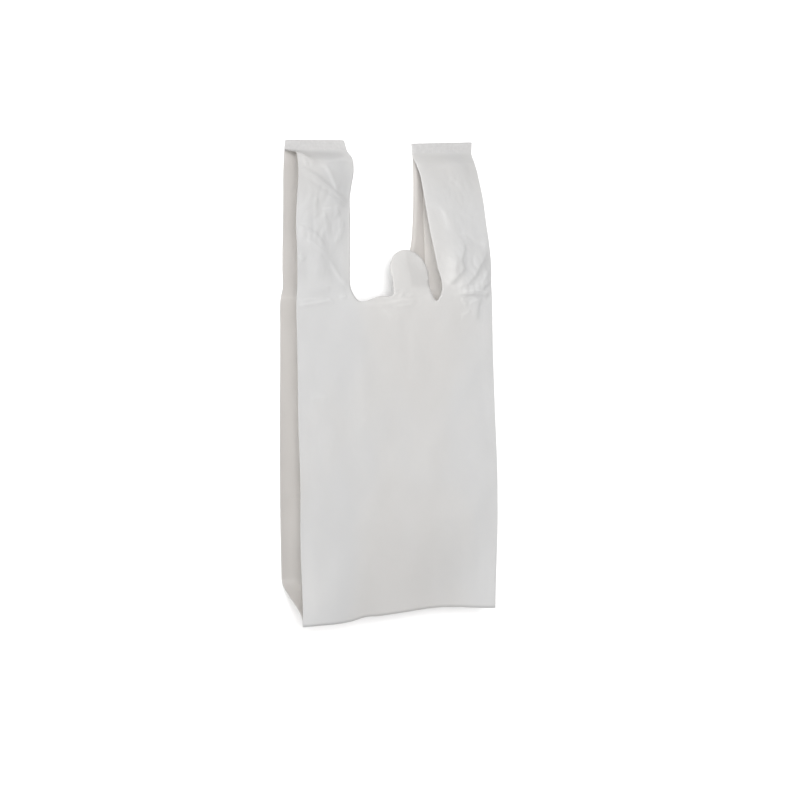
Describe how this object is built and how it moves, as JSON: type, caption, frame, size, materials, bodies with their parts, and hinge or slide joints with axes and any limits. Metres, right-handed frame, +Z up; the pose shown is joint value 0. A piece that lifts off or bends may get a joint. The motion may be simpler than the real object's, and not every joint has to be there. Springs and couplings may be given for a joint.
{
  "type": "plastic carrier bag",
  "caption": "Thin white film carrier bag of the vest kind, with folded side gussets, loop handles welded at their tops, a round tab in its mouth and a welded bottom.",
  "frame": {"origin": "centre of the bag's bounding box, at the height of the surface it lies on", "axes": "+Y along the bag towards the handles, +X across it towards the bag's right seen from the front, +Z up out of the front panel"},
  "size_m": [0.214, 0.451, 0.045],
  "materials": {
    "film": "white, slightly translucent high-density polyethylene film with a soft sheen and fine creases"
  },
  "bodies": {
    "root": {"bag_film": "film"}
  },
  "joints": []
}
